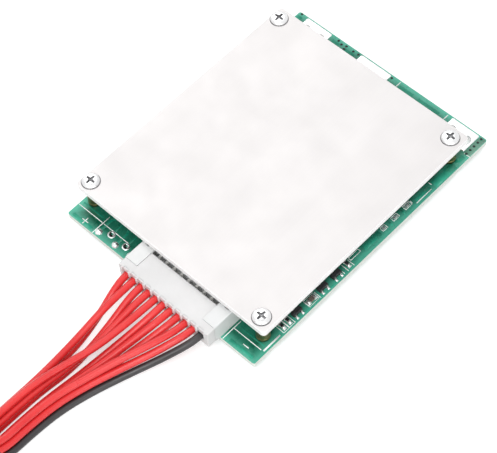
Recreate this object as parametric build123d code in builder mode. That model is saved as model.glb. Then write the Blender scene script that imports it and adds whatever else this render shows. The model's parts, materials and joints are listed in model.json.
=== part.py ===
from build123d import *
from math import cos, pi, radians, sin, tan
import os

# A protection and balance board for a ten-series battery, standing on its four nuts.
# Lengths are in millimetres. The origin is under the middle of the board and its header,
# +Z points up and +Y runs from the header's edge to the edge with the power lands.

# Circuit board
board_width = 64.0
board_length = 85.8
board_thickness = 1.6
board_corner = 0.6
header_overhang = 1.4

# Heat plate and its four screws
plate_side_gap = 0.25
plate_setback = 4.1
plate_back_gap = 7.4
plate_thickness = 1.6
plate_corner = 1.1
plate_edge_round = 0.2
screw_inset_left = 2.45
screw_inset_right = 3.45
screw_inset_front = 3.0
screw_inset_back = 3.3
screw_diameter = 2.5
screw_length = 12.0
screw_head_diameter = 5.0
screw_head_height = 1.5
screw_head_crown = 0.95
recess_length = 2.7
recess_width = 0.7
recess_depth = 0.9
recess_taper = 12.0
screw_clearance = 0.2
standoff_diameter = 3.6
standoff_height = 7.2
nut_across_flats = 5.0
nut_height = 2.0
thread_clearance = 0.04

# Header
pin_count = 11
pin_pitch = 2.5
header_share = 0.5953125
header_end_margin = 2.45
header_height = 6.1
header_depth = 8.2
header_side_wall = 0.9
header_floor = 0.8
header_roof = 0.8
header_back_wall = 1.2
header_edge_round = 0.25
slot_length = 22.0
window_length = 1.2
window_width = 1.0
window_offset = 13.3
window_setback = 5.7
pin_side = 0.64
pin_height = 3.2
pin_bend_radius = 0.8
pin_tip_inset = 1.3
pin_drop = 1.5
pin_tail = 1.2
pin_hole_diameter = 1.0
pin_clearance = 0.02
solder_cone_radius = 0.85
solder_cone_height = 0.8
solder_cone_tip = 0.5

# Plug and its contacts
plug_clearance = 0.1
plug_flange_length = 29.8
plug_flange_height = 5.75
plug_flange_depth = 2.4
plug_insert_depth = 5.1
plug_pad_drop = 0.2
plug_edge_round = 0.25
cavity_clearance = 0.04
cavity_height = 2.3
cavity_front_wall = 0.7
latch_window_length = 1.6
latch_window_width = 1.3
latch_window_setback = 2.4
notch_width = 1.6
notch_depth = 0.5
contact_width = 1.7
contact_height = 1.9
contact_front_clearance = 0.1
contact_wall = 0.25
crimp_diameter = 1.3
crimp_length = 1.4

# Power lands at the far edge
land_thickness = 0.12
land_length = 6.5
land_corner = 0.3
land_setback = 0.2
corner_land_width = 8.9
middle_land_width = 10.5
left_land_inset = 7.45
right_land_inset = 6.65
middle_land_share = 0.4258
cable_hole_diameter = 3.0
cable_hole_spacing = 4.9
cable_hole_setback = 3.6
annular_ring = 0.7

# Solder joints and plated holes left of the header: share of the free edge, and distance from it
joint_radius = 0.85
joint_height = 0.55
joint_tip_radius = 0.4
joint_places = [(0.4276, 1.4), (0.6782, 1.4), (0.8942, 1.6)]
eyelet_places = [(0.5572, 2.9), (0.7819, 2.8)]
eyelet_diameter = 1.8
eyelet_hole_diameter = 1.0
eyelet_thickness = 0.06
plating_thickness = 0.1
plating_clearance = 0.01

# Places of the rows, as shares of the way from the front edge to the rear row of power transistors
capacitor_row = 0.203
resistor_row = 0.2448
monitor_row = 0.3075
small_transistor_row = 0.3851
balance_row = 0.4866
front_transistor_row = 0.7313
strip_transistor_rows = [0.2537, 0.3896, 0.4612]
strip_chip_rows = [0.1776, 0.2075, 0.5224]
strip_large_chip_row = 0.3269

# Power transistors in two rows under the plate
transistor_columns = 4
transistor_rows = 2
transistor_edge_gap = 6.8
body_gap = 2.4
body_length = 9.2
body_height = 4.5
body_draft = 4.0
tab_side_inset = 0.8
tab_length = 9.4
tab_thickness = 1.27
tab_overhang = 1.4
leg_pitch = 5.08
leg_width = 0.9
leg_thickness = 0.5
leg_height = 1.9
leg_reach_share = 0.62
leg_bend_share = 0.48
stub_reach = 1.0
pad_margin = 0.8

# Shunt resistors beside the far edge of the plate
shunt_count = 3
shunt_pitch = 9.5
shunt_length = 6.4
shunt_width = 3.2
shunt_height = 1.0
shunt_land_gap = 0.7
shunt_tab_gap = 2.2

# One monitor channel for each cell, side by side under the plate
channel_count = 10
channel_edge_gap = 4.5
balance_resistor_width = 3.2
balance_resistor_length = 6.4
balance_resistor_height = 0.6
small_body_length = 2.9
small_body_width = 1.3
small_body_height = 1.1
small_body_draft = 6.0
small_lead_pitch = 0.95
small_lead_width = 0.4
small_lead_thickness = 0.15
small_lead_reach = 0.55
small_lead_bend = 0.3
small_lead_height = 0.5
monitor_width = 1.6
chip_length = 1.6
chip_width = 0.8
chip_height = 0.5
chip_offset = 1.1

# Small parts on the strip along the board's right edge
strip_inset = 2.05
strip_chip_inset = 2.3
strip_large_chip_length = 2.0
strip_large_chip_width = 1.25
strip_large_chip_height = 0.6
strip_large_chip_inset = 1.8

# Wires
wire_diameter = 1.9
wire_exit = 1.0
wire_steps = [4.7, 10.2, 18.2, 26.2, 34.2, 42.2, 50.2]
wire_routes = [
    [(-12.1, 6.1), (-11.1, 4.0), (-10.0, 2.0), (-9.8, 1.1), (-9.95, 0.95), (-9.8, 0.95), (-9.8, 0.95)],
    [(-10.05, 6.7), (-10.1, 6.2), (-10.1, 4.2), (-9.9, 3.2), (-9.7, 3.0), (-9.8, 2.95), (-9.8, 2.95)],
    [(-7.5, 6.2), (-7.1, 4.3), (-6.7, 2.1), (-6.7, 1.0), (-7.7, 0.95), (-7.8, 0.95), (-7.8, 0.95)],
    [(-5.1, 6.7), (-5.3, 5.5), (-5.6, 3.9), (-6.5, 3.1), (-7.5, 3.0), (-7.8, 2.95), (-7.8, 2.95)],
    [(-2.7, 6.8), (-3.2, 6.3), (-4.3, 5.5), (-6.4, 5.2), (-8.3, 4.9), (-8.8, 4.75), (-8.8, 4.75)],
    [(-0.2, 6.3), (-1.3, 4.4), (-2.9, 2.1), (-4.0, 1.1), (-5.0, 0.95), (-5.3, 0.95), (-5.3, 0.95)],
    [(2.1, 6.6), (1.0, 5.4), (-0.7, 3.8), (-2.4, 2.9), (-3.8, 2.8), (-4.3, 2.75), (-4.3, 2.75)],
    [(4.4, 6.2), (2.7, 4.1), (0.5, 2.0), (-1.4, 1.1), (-2.9, 0.95), (-3.25, 0.95), (-3.25, 0.95)],
    [(6.9, 6.9), (5.2, 6.7), (2.1, 5.8), (-0.6, 4.9), (-2.6, 4.7), (-3.25, 4.55), (-3.25, 4.55)],
    [(9.1, 6.6), (6.8, 5.1), (3.3, 3.8), (0.3, 3.0), (-1.6, 2.85), (-2.2, 2.75), (-2.2, 2.75)],
    [(11.4, 6.0), (8.5, 3.8), (4.4, 1.7), (1.4, 1.0), (-0.5, 0.95), (-1.1, 0.95), (-1.1, 0.95)],
]

# The unseen length: the bundle turns onto its edge and runs into a round coil of two turns
lead_in_step = 6.5
lead_in_turns = [22.5, 45.0, 67.5, 90.0]
lead_in_growth = 1.05
lead_in_end = 5.0
bundle_pivot = -5.3
coil_lift = 0.45
coil_radius = 22.0
coil_pitch = 6.1
coil_sweep = 690.0
coil_entry = 2.0
quarter_turn = 90.0
tie_width = 3.6
tie_thickness = 0.4
tie_angles = [75.0, 235.0]
tie_head_length = 5.0
tie_head_width = 4.6
tie_head_height = 3.4
tie_head_round = 0.5
tie_stub_width = 2.6
tie_stub_height = 0.9

# Levels and edges that the sizes above give
board_bottom = nut_height
board_top = board_bottom + board_thickness
plate_bottom = board_top + standoff_height
plate_top = plate_bottom + plate_thickness
board_front = -(board_length - header_overhang) / 2
board_back = board_front + board_length
board_centre_y = (board_front + board_back) / 2
board_left = -board_width / 2
board_right = board_width / 2
plate_width = board_width - 2 * plate_side_gap
plate_length = board_length - plate_setback - plate_back_gap
plate_centre_y = board_front + plate_setback + plate_length / 2
screw_columns = [screw_inset_left - plate_width / 2, plate_width / 2 - screw_inset_right]
screw_rows = [
    board_front + plate_setback + screw_inset_front,
    board_back - plate_back_gap - screw_inset_back,
]
screw_hole_radius = screw_diameter / 2 + screw_clearance
wire_radius = wire_diameter / 2

header_centre_x = board_left + header_share * board_width
header_length = (pin_count - 1) * pin_pitch + 2 * header_end_margin
header_front = board_front - header_overhang
header_back = header_front + header_depth
header_top = board_top + header_height
pin_level = board_top + pin_height
pin_drop_y = header_back + pin_drop
pin_columns = [header_centre_x + (i - (pin_count - 1) / 2) * pin_pitch for i in range(pin_count)]
pin_holes = [(x, pin_drop_y) for x in pin_columns]
free_edge = header_centre_x - header_length / 2 - board_left

left_land_x = board_left + left_land_inset
right_land_x = board_right - right_land_inset
middle_land_x = board_left + middle_land_share * board_width
land_centre_y = board_back - land_setback - land_length / 2
cable_hole_y = board_back - cable_hole_setback
shunt_centre_y = board_back - land_setback - land_length - shunt_land_gap - shunt_width / 2
tab_back_y = shunt_centre_y - shunt_width / 2 - shunt_tab_gap
rear_row_y = tab_back_y - tab_overhang - body_length / 2
cable_holes = [
    (land_x + side * cable_hole_spacing / 2, cable_hole_y)
    for land_x in (left_land_x, right_land_x)
    for side in (-1, 1)
]
eyelets = [(board_left + share * free_edge, board_front + y) for share, y in eyelet_places]
joints = [(board_left + share * free_edge, board_front + y) for share, y in joint_places]


def write(part, name):
    """Labels a finished piece and writes it to its own file."""
    part.label = name
    export_step(part, f"parts/{name}.step")


def screw_places():
    """The four screw centres, two columns by two rows."""
    return [(x, y) for x in screw_columns for y in screw_rows]


def row_y(share):
    """The place along Y of a row, given as a share of the way to the rear power transistors."""
    return board_front + share * (rear_row_y - board_front)


def channel_columns():
    """The middle of each monitor channel."""
    channel_pitch = (board_width - 2 * channel_edge_gap) / channel_count
    return [(i - (channel_count - 1) / 2) * channel_pitch for i in range(channel_count)]


def bent_lead(x, y, heading, height, bend, reach, thickness):
    """The side outline of a gull-wing lead that leaves a body at (x, y), drops and ends on the board."""
    outward = (cos(radians(heading)), sin(radians(heading)), 0)
    sideways = (sin(radians(heading)), -cos(radians(heading)), 0)
    with BuildSketch(Plane(origin=(x, y, board_top), x_dir=outward, z_dir=sideways)) as outline:
        with BuildLine():
            Polyline(
                (0, height),
                (0, height + thickness),
                (bend, height + thickness),
                (bend, thickness),
                (reach, thickness),
                (reach, 0),
                (bend - thickness, 0),
                (bend - thickness, height),
                close=True,
            )
        make_face()
    return outline.sketch.face()


os.makedirs("parts", exist_ok=True)

# Circuit board with its round holes
with BuildPart() as pcb:
    with BuildSketch(Plane.XY.offset(board_bottom)):
        with Locations((0, board_centre_y)):
            RectangleRounded(board_width, board_length, board_corner)
        with Locations(*screw_places()):
            Circle(screw_hole_radius, mode=Mode.SUBTRACT)
        with Locations(*pin_holes):
            Circle(pin_hole_diameter / 2, mode=Mode.SUBTRACT)
        with Locations(*cable_holes):
            Circle(cable_hole_diameter / 2, mode=Mode.SUBTRACT)
        with Locations(*eyelets):
            Circle(eyelet_hole_diameter / 2 + plating_thickness + plating_clearance, mode=Mode.SUBTRACT)
    extrude(amount=board_thickness)
write(pcb.part, "pcb")

# Heat plate with rounded corners and a broken top edge
with BuildPart() as heat_plate:
    with BuildSketch(Plane.XY.offset(plate_bottom)):
        with Locations((0, plate_centre_y)):
            RectangleRounded(plate_width, plate_length, plate_corner)
    extrude(amount=plate_thickness)
    fillet(heat_plate.faces().sort_by(Axis.Z)[-1].edges(), plate_edge_round)
    with Locations(*[(x, y, plate_top) for x, y in screw_places()]):
        Hole(screw_hole_radius, plate_thickness)
write(heat_plate.part, "heat_plate")

# Standoff sleeves and nuts
with BuildPart() as standoffs:
    with BuildSketch(Plane.XY.offset(board_top)):
        with Locations(*screw_places()):
            Circle(standoff_diameter / 2)
            Circle(screw_hole_radius, mode=Mode.SUBTRACT)
    extrude(amount=standoff_height)
write(standoffs.part, "standoffs")

with BuildPart() as nuts:
    with BuildSketch():
        with Locations(*screw_places()):
            RegularPolygon(nut_across_flats / 2, 6, major_radius=False)
            Circle(screw_diameter / 2 + thread_clearance, mode=Mode.SUBTRACT)
    extrude(amount=nut_height)
write(nuts.part, "nuts")

# Pan-head screws with a tapered cross recess
with BuildPart() as plate_screws:
    with Locations(*[(x, y, plate_top + screw_head_height / 2) for x, y in screw_places()]):
        Cylinder(screw_head_diameter / 2, screw_head_height)
    fillet(plate_screws.edges().filter_by(GeomType.CIRCLE).group_by(Axis.Z)[-1], screw_head_crown)
    with Locations(*[(x, y, plate_top - screw_length / 2) for x, y in screw_places()]):
        Cylinder(screw_diameter / 2, screw_length)
    with BuildSketch(Plane.XY.offset(plate_top + screw_head_height)):
        with Locations(*screw_places()):
            Rectangle(recess_length, recess_width)
            Rectangle(recess_width, recess_length)
    extrude(amount=-recess_depth, taper=recess_taper, mode=Mode.SUBTRACT)
write(plate_screws.part, "plate_screws")

# Header: a moulded box open to the front, slotted along its roof, with two core windows
with BuildPart() as header_shroud:
    with BuildSketch(Plane.XZ.offset(-header_front)):
        with Locations((header_centre_x, board_top + header_height / 2)):
            Rectangle(header_length, header_height)
    extrude(amount=-header_depth)
    fillet(header_shroud.edges().filter_by(Axis.Y).group_by(Axis.Z)[-1], header_edge_round)
    with BuildSketch(Plane.XZ.offset(-header_front)):
        with Locations((header_centre_x, board_top + (header_floor + header_height - header_roof) / 2)):
            Rectangle(header_length - 2 * header_side_wall, header_height - header_floor - header_roof)
    extrude(amount=-(header_depth - header_back_wall), mode=Mode.SUBTRACT)
    with BuildSketch(Plane.XY.offset(header_top)):
        with Locations((header_centre_x, header_front + (header_depth - header_back_wall) / 2)):
            Rectangle(slot_length, header_depth - header_back_wall)
        window_y = header_front + window_setback + window_width / 2
        for side in (-1, 1):
            with Locations((header_centre_x + side * window_offset, window_y)):
                Rectangle(window_length, window_width)
    extrude(amount=-header_roof, mode=Mode.SUBTRACT)
    with BuildSketch(Plane.XZ.offset(-header_back)):
        with Locations(*[(x, pin_level) for x in pin_columns]):
            Rectangle(pin_side + 2 * pin_clearance, pin_side + 2 * pin_clearance)
    extrude(amount=header_back_wall, mode=Mode.SUBTRACT)
write(header_shroud.part, "header_shroud")

# Header pins: square wire, bent down through the board behind the header
with BuildPart() as header_pins:
    for pin_x in pin_columns:
        with BuildLine():
            FilletPolyline(
                (pin_x, header_front + pin_tip_inset, pin_level),
                (pin_x, pin_drop_y, pin_level),
                (pin_x, pin_drop_y, board_bottom - pin_tail),
                radius=pin_bend_radius,
            )
        with BuildSketch(Plane((pin_x, header_front + pin_tip_inset, pin_level), z_dir=(0, 1, 0))):
            Rectangle(pin_side, pin_side)
        sweep()
write(header_pins.part, "header_pins")

# Solder cones round the pin tails under the board
with BuildPart() as header_solder:
    with Locations(*[(x, y, board_bottom - solder_cone_height / 2) for x, y in pin_holes]):
        Cone(solder_cone_tip, solder_cone_radius, solder_cone_height)
    add(header_pins.part, mode=Mode.SUBTRACT)
write(header_solder.part, "header_solder")

# Plug housing: flange, insert and raised pad; each contact has a cavity, a latch window and a notch
flange_front = header_front - plug_clearance / 2
flange_rear = header_front - plug_flange_depth
insert_length = header_length - 2 * header_side_wall - 2 * plug_clearance
insert_bottom = board_top + header_floor + plug_clearance
insert_top = header_top - header_roof - plug_clearance
pad_top = header_top - plug_pad_drop
pad_length = slot_length - 2 * plug_clearance
insert_front = header_front + plug_insert_depth
cavity_width = wire_diameter + 2 * cavity_clearance
crimp_rear = flange_rear + wire_diameter
contact_rear = crimp_rear + crimp_length
contact_length = insert_front - cavity_front_wall - contact_front_clearance - contact_rear

with BuildPart() as plug_housing:
    with BuildSketch(Plane.XZ.offset(-flange_rear)):
        with Locations((header_centre_x, pad_top - plug_flange_height / 2)):
            Rectangle(plug_flange_length, plug_flange_height)
    extrude(amount=flange_rear - flange_front)
    fillet(plug_housing.edges().filter_by(Axis.Y), plug_edge_round)
    with BuildSketch(Plane.XZ.offset(-flange_front)):
        with Locations((header_centre_x, (insert_bottom + insert_top) / 2)):
            Rectangle(insert_length, insert_top - insert_bottom)
        with Locations((header_centre_x, (insert_bottom + pad_top) / 2)):
            Rectangle(pad_length, pad_top - insert_bottom)
    extrude(amount=flange_front - insert_front)
    nose = plug_housing.faces().sort_by(Axis.Y)[-1].outer_wire().edges()
    chamfer(nose, plug_edge_round)
    with BuildSketch(Plane.XZ.offset(-flange_rear)):
        with Locations(*[(x, pin_level) for x in pin_columns]):
            Rectangle(cavity_width, cavity_height)
    extrude(amount=flange_rear - insert_front + cavity_front_wall, mode=Mode.SUBTRACT)
    with BuildSketch(Plane.XZ.offset(-insert_front)):
        with Locations(*[(x, pin_level) for x in pin_columns]):
            Rectangle(pin_side + 2 * plug_clearance, pin_side + 2 * plug_clearance)
    extrude(amount=cavity_front_wall, mode=Mode.SUBTRACT)
    with BuildSketch(Plane.XY.offset(insert_bottom)):
        with Locations(*[(x, insert_front - latch_window_setback) for x in pin_columns]):
            Rectangle(latch_window_length, latch_window_width)
    extrude(amount=pin_level - cavity_height / 2 - insert_bottom, mode=Mode.SUBTRACT)
    with BuildSketch(Plane.XY.offset(pad_top)):
        with Locations(*[(x, flange_rear) for x in pin_columns]):
            Rectangle(notch_width, 2 * notch_depth)
    extrude(amount=pin_level - pad_top, mode=Mode.SUBTRACT)
write(plug_housing.part, "plug_housing")

# Plug contacts: a square box over each pin and a crimp barrel that the wire ends in
with BuildPart() as plug_contacts:
    with BuildSketch(Plane.XZ.offset(-contact_rear)):
        with Locations(*[(x, pin_level) for x in pin_columns]):
            Rectangle(contact_width, contact_height)
    extrude(amount=-contact_length)
    with BuildSketch(Plane.XZ.offset(-contact_rear - contact_wall)):
        with Locations(*[(x, pin_level) for x in pin_columns]):
            Rectangle(contact_width - 2 * contact_wall, contact_height - 2 * contact_wall)
    extrude(amount=-contact_length, mode=Mode.SUBTRACT)
    with BuildSketch(Plane.XZ.offset(-crimp_rear)):
        with Locations(*[(x, pin_level) for x in pin_columns]):
            Circle(crimp_diameter / 2)
    extrude(amount=-crimp_length)
write(plug_contacts.part, "plug_contacts")

# Tinned power lands, and solder rings under the board round their cable holes
with BuildPart() as power_lands:
    with BuildSketch(Plane.XY.offset(board_top)):
        with Locations((left_land_x, land_centre_y), (right_land_x, land_centre_y)):
            RectangleRounded(corner_land_width, land_length, land_corner)
        with Locations((middle_land_x, land_centre_y)):
            RectangleRounded(middle_land_width, land_length, land_corner)
    extrude(amount=land_thickness)
    with BuildSketch(Plane.XY.offset(board_bottom)):
        with Locations(*cable_holes):
            Circle(cable_hole_diameter / 2 + annular_ring)
    extrude(amount=-land_thickness)
    with BuildSketch(Plane.XY.offset(board_bottom - land_thickness)):
        with Locations(*cable_holes):
            Circle(cable_hole_diameter / 2)
    extrude(amount=board_thickness + 2 * land_thickness, mode=Mode.SUBTRACT)
write(power_lands.part, "power_lands")

# Solder joints and plated eyelets beside the header
with BuildPart() as front_joints:
    with Locations(*[(x, y, board_top + joint_height / 2) for x, y in joints]):
        Cone(joint_radius, joint_tip_radius, joint_height)
write(front_joints.part, "front_joints")

with BuildPart() as plated_eyelets:
    with BuildSketch(Plane.XY.offset(board_top)):
        with Locations(*eyelets):
            Circle(eyelet_diameter / 2)
    extrude(amount=eyelet_thickness)
    with BuildSketch(Plane.XY.offset(board_bottom - eyelet_thickness)):
        with Locations(*eyelets):
            Circle(eyelet_diameter / 2)
    extrude(amount=eyelet_thickness)
    with BuildSketch(Plane.XY.offset(board_bottom)):
        with Locations(*eyelets):
            Circle(eyelet_hole_diameter / 2 + plating_thickness)
    extrude(amount=board_thickness)
    with BuildSketch(Plane.XY.offset(board_bottom - eyelet_thickness)):
        with Locations(*eyelets):
            Circle(eyelet_hole_diameter / 2)
    extrude(amount=board_thickness + 2 * eyelet_thickness, mode=Mode.SUBTRACT)
write(plated_eyelets.part, "plated_eyelets")

# Power transistors: metal tab flat on the board, moulded body over it, two legs and a cut-off stub
transistor_pitch = (board_width - 2 * transistor_edge_gap) / transistor_columns
row_pitch = rear_row_y - row_y(front_transistor_row)
transistors = [
    ((i - (transistor_columns - 1) / 2) * transistor_pitch, rear_row_y - row * row_pitch)
    for row in range(transistor_rows)
    for i in range(transistor_columns)
]
body_width = transistor_pitch - body_gap
tab_width = body_width - 2 * tab_side_inset
tab_shift = body_length / 2 + tab_overhang - tab_length / 2

with BuildPart() as transistor_tabs:
    with BuildSketch(Plane.XY.offset(board_top)):
        with Locations(*[(x, y + tab_shift) for x, y in transistors]):
            Rectangle(tab_width, tab_length)
    extrude(amount=tab_thickness)
    chamfer(transistor_tabs.edges().filter_by(Axis.Z).group_by(Axis.Y)[-1], tab_overhang / 2)
write(transistor_tabs.part, "transistor_tabs")

with BuildPart() as transistor_bodies:
    with BuildSketch(Plane.XY.offset(board_top)):
        with Locations(*transistors):
            Rectangle(body_width, body_length)
    extrude(amount=body_height, taper=body_draft)
    add(transistor_tabs.part, mode=Mode.SUBTRACT)
write(transistor_bodies.part, "transistor_bodies")

leg_start = body_length / 2 - leg_height * tan(radians(body_draft))
leg_reach = leg_reach_share * (row_pitch - body_length - tab_overhang)
leg_bend = leg_bend_share * leg_reach
leg_outlines = [
    bent_lead(
        x + side * leg_pitch / 2,
        y - leg_start,
        -quarter_turn,
        leg_height,
        leg_bend,
        leg_reach,
        leg_thickness,
    )
    for x, y in transistors
    for side in (-1, 1)
]
with BuildPart() as transistor_legs:
    extrude(leg_outlines, amount=leg_width / 2, both=True)
    with BuildSketch(Plane.XY.offset(board_top + leg_height)):
        with Locations(*[(x, y - leg_start - stub_reach / 2) for x, y in transistors]):
            Rectangle(leg_width, stub_reach)
    extrude(amount=leg_thickness)
write(transistor_legs.part, "transistor_legs")

# Silicone pad between the transistors and the plate
with BuildPart() as thermal_pad:
    with BuildSketch(Plane.XY.offset(board_top + body_height)):
        with Locations((0, rear_row_y - (transistor_rows - 1) * row_pitch / 2)):
            Rectangle(
                (transistor_columns - 1) * transistor_pitch + body_width + 2 * pad_margin,
                (transistor_rows - 1) * row_pitch + body_length + 2 * pad_margin,
            )
    extrude(amount=standoff_height - body_height)
write(thermal_pad.part, "thermal_pad")

# Shunt resistors
with BuildPart() as shunt_resistors:
    with BuildSketch(Plane.XY.offset(board_top)):
        with Locations((0, shunt_centre_y)):
            with GridLocations(shunt_pitch, shunt_width, shunt_count, 1):
                Rectangle(shunt_length, shunt_width)
    extrude(amount=shunt_height)
write(shunt_resistors.part, "shunt_resistors")

# Balance resistors, one for each channel
with BuildPart() as balance_resistors:
    with BuildSketch(Plane.XY.offset(board_top)):
        with Locations(*[(x, row_y(balance_row)) for x in channel_columns()]):
            Rectangle(balance_resistor_width, balance_resistor_length)
    extrude(amount=balance_resistor_height)
write(balance_resistors.part, "balance_resistors")

# Three-leg transistors: one for each channel, and three on the open strip, turned lengthwise
channel_transistors = [(x, row_y(small_transistor_row)) for x in channel_columns()]
strip_transistors = [(board_right - strip_inset, row_y(row)) for row in strip_transistor_rows]

with BuildPart() as small_transistors:
    with BuildSketch(Plane.XY.offset(board_top + small_lead_thickness)):
        with Locations(*channel_transistors):
            Rectangle(small_body_length, small_body_width)
        with Locations(*strip_transistors):
            Rectangle(small_body_width, small_body_length)
    extrude(amount=small_body_height - small_lead_thickness, taper=small_body_draft)
write(small_transistors.part, "small_transistors")

lead_inset = (small_lead_height - small_lead_thickness) * tan(radians(small_body_draft))
lead_root = small_body_width / 2 - lead_inset
small_outlines = []
for places, turn in ((channel_transistors, quarter_turn), (strip_transistors, 0)):
    along = (cos(radians(turn - quarter_turn)), sin(radians(turn - quarter_turn)))
    out = (cos(radians(turn)), sin(radians(turn)))
    for body_x, body_y in places:
        for shift, facing in ((-small_lead_pitch, 1), (small_lead_pitch, 1), (0, -1)):
            small_outlines.append(
                bent_lead(
                    body_x + shift * along[0] + facing * lead_root * out[0],
                    body_y + shift * along[1] + facing * lead_root * out[1],
                    turn if facing > 0 else turn + 2 * quarter_turn,
                    small_lead_height,
                    small_lead_bend,
                    small_lead_reach,
                    small_lead_thickness,
                )
            )
with BuildPart() as small_transistor_leads:
    extrude(small_outlines, amount=small_lead_width / 2, both=True)
write(small_transistor_leads.part, "small_transistor_leads")

# Cell-monitor chips with six leads
monitor_places = [(x, row_y(monitor_row)) for x in channel_columns()]
with BuildPart() as monitor_chips:
    with BuildSketch(Plane.XY.offset(board_top + small_lead_thickness)):
        with Locations(*monitor_places):
            Rectangle(small_body_length, monitor_width)
    extrude(amount=small_body_height - small_lead_thickness, taper=small_body_draft)
write(monitor_chips.part, "monitor_chips")

monitor_root = monitor_width / 2 - lead_inset
monitor_outlines = [
    bent_lead(
        x + step * small_lead_pitch,
        y + facing * monitor_root,
        facing * quarter_turn,
        small_lead_height,
        small_lead_bend,
        small_lead_reach,
        small_lead_thickness,
    )
    for x, y in monitor_places
    for facing in (-1, 1)
    for step in (-1, 0, 1)
]
with BuildPart() as monitor_chip_leads:
    extrude(monitor_outlines, amount=small_lead_width / 2, both=True)
write(monitor_chip_leads.part, "monitor_chip_leads")

# Chip resistors and capacitors: two of each in a channel, and those of the open strip
resistor_places = [
    (x + side * chip_offset, row_y(resistor_row))
    for x in channel_columns()
    for side in (-1, 1)
]
capacitor_places = [(x, row_y(capacitor_row)) for x in channel_columns()]
strip_chips = [(board_right - strip_chip_inset, row_y(row)) for row in strip_chip_rows]

with BuildPart() as chip_resistors:
    with BuildSketch(Plane.XY.offset(board_top)):
        with Locations(*resistor_places):
            Rectangle(chip_width, chip_length)
        with Locations(*strip_chips):
            Rectangle(chip_length, chip_width)
    extrude(amount=chip_height)
write(chip_resistors.part, "chip_resistors")

with BuildPart() as chip_capacitors:
    with BuildSketch(Plane.XY.offset(board_top)):
        with Locations(*capacitor_places):
            Rectangle(chip_length, chip_width)
        with Locations((board_right - strip_large_chip_inset, row_y(strip_large_chip_row))):
            Rectangle(strip_large_chip_width, strip_large_chip_length)
    extrude(amount=strip_large_chip_height)
write(chip_capacitors.part, "chip_capacitors")


wire_stations = [flange_rear - step for step in wire_steps]
placed_routes = [[(header_centre_x + x, z) for x, z in route] for route in wire_routes]
bundle_pivot_x = header_centre_x + bundle_pivot


def turned(place, degrees_turned):
    """Turns a wire's place in the flat bundle about the bundle's pivot, standing it on its edge."""
    share = degrees_turned / lead_in_turns[-1]
    growth = 1 + (lead_in_growth - 1) * min(1.0, 4 * share)
    spin = radians(degrees_turned)
    sections = [
        ((x - bundle_pivot_x) * growth, (z - wire_radius) * growth)
        for x, z in (route[-1] for route in placed_routes)
    ]
    lowest = min(dx * sin(spin) + dz * cos(spin) for dx, dz in sections)
    dx = (place[0] - bundle_pivot_x) * growth
    dz = (place[1] - wire_radius) * growth
    return (
        bundle_pivot_x + dx * cos(spin) - dz * sin(spin),
        wire_radius + coil_lift * share + dx * sin(spin) + dz * cos(spin) - lowest,
    )


# Wires: straight runs joined by tangent arcs, from the crimp to the coil
for number, (pin_x, route) in enumerate(zip(pin_columns, placed_routes), start=1):
    points = [(pin_x, crimp_rear, pin_level), (pin_x, flange_rear - wire_exit, pin_level)]
    points += [(x, y, z) for (x, z), y in zip(route, wire_stations)]
    for step, angle in enumerate(lead_in_turns, start=1):
        x, z = turned(route[-1], angle)
        points.append((x, wire_stations[-1] - step * lead_in_step, z))
    points.append((points[-1][0], points[-1][1] - lead_in_end, points[-1][2]))
    corners = [Vector(*point) for point in points]
    radii = []
    for before, corner, after in zip(corners, corners[1:], corners[2:]):
        run_in = corner - before
        run_out = after - corner
        half_turn = radians(run_in.get_angle(run_out)) / 2
        radii.append(0.45 * min(run_in.length, run_out.length) / tan(half_turn))
    print(f"wire_{number} radii", [round(radius, 1) for radius in radii])
    with BuildPart() as wire:
        with BuildLine():
            run = FilletPolyline(*corners, radius=radii)
        with BuildSketch(Plane(run @ 0, z_dir=run % 0)):
            Circle(wire_radius)
        sweep()
    straight_volume = pi * wire_radius**2 * run.length
    volume_ratio = wire.part.volume / straight_volume
    print(f"wire_{number} length {run.length:.1f}, volume against section times length {volume_ratio:.4f}")
    write(wire.part, f"wire_{number}")

# Coil of the put-away length, as one closed ring with the straight entry of the bundle
last_turned = [turned(route[-1], lead_in_turns[-1]) for route in placed_routes]
coil_face_y = wire_stations[-1] - len(lead_in_turns) * lead_in_step - lead_in_end
coil_centre_x = bundle_pivot_x - coil_radius
coil_centre_y = coil_face_y - coil_entry
bundle_inner_x = min(x for x, z in last_turned) - wire_radius
bundle_outer_x = max(x for x, z in last_turned) + wire_radius
coil_bottom = min(z for x, z in last_turned) - wire_radius
coil_top = max(z for x, z in last_turned) + wire_radius
coil_outer_radius = bundle_outer_x - coil_centre_x
coil_inner_radius = bundle_inner_x - coil_centre_x - coil_pitch * coil_sweep / (4 * quarter_turn)

quarter_step = coil_pitch / 4
with BuildPart() as harness_coil:
    with BuildSketch(Plane.XY.offset(coil_bottom)):
        with BuildLine():
            centre = Vector(coil_centre_x, coil_centre_y)
            radius = coil_outer_radius
            for quarter in range(4):
                start = -quarter_turn * quarter
                CenterArc(centre, radius, start, -quarter_turn)
                centre += Vector(quarter_step, 0).rotate(Axis.Z, start - quarter_turn)
                radius -= quarter_step
            Polyline(
                (coil_centre_x + coil_outer_radius - coil_pitch, coil_centre_y),
                (bundle_inner_x, coil_centre_y),
                (bundle_inner_x, coil_face_y),
                (bundle_outer_x, coil_face_y),
                (bundle_outer_x, coil_centre_y),
            )
        make_face()
        with Locations((coil_centre_x, coil_centre_y)):
            Circle(coil_inner_radius, mode=Mode.SUBTRACT)
    extrude(amount=coil_top - coil_bottom)
write(harness_coil.part, "harness_coil")

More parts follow.
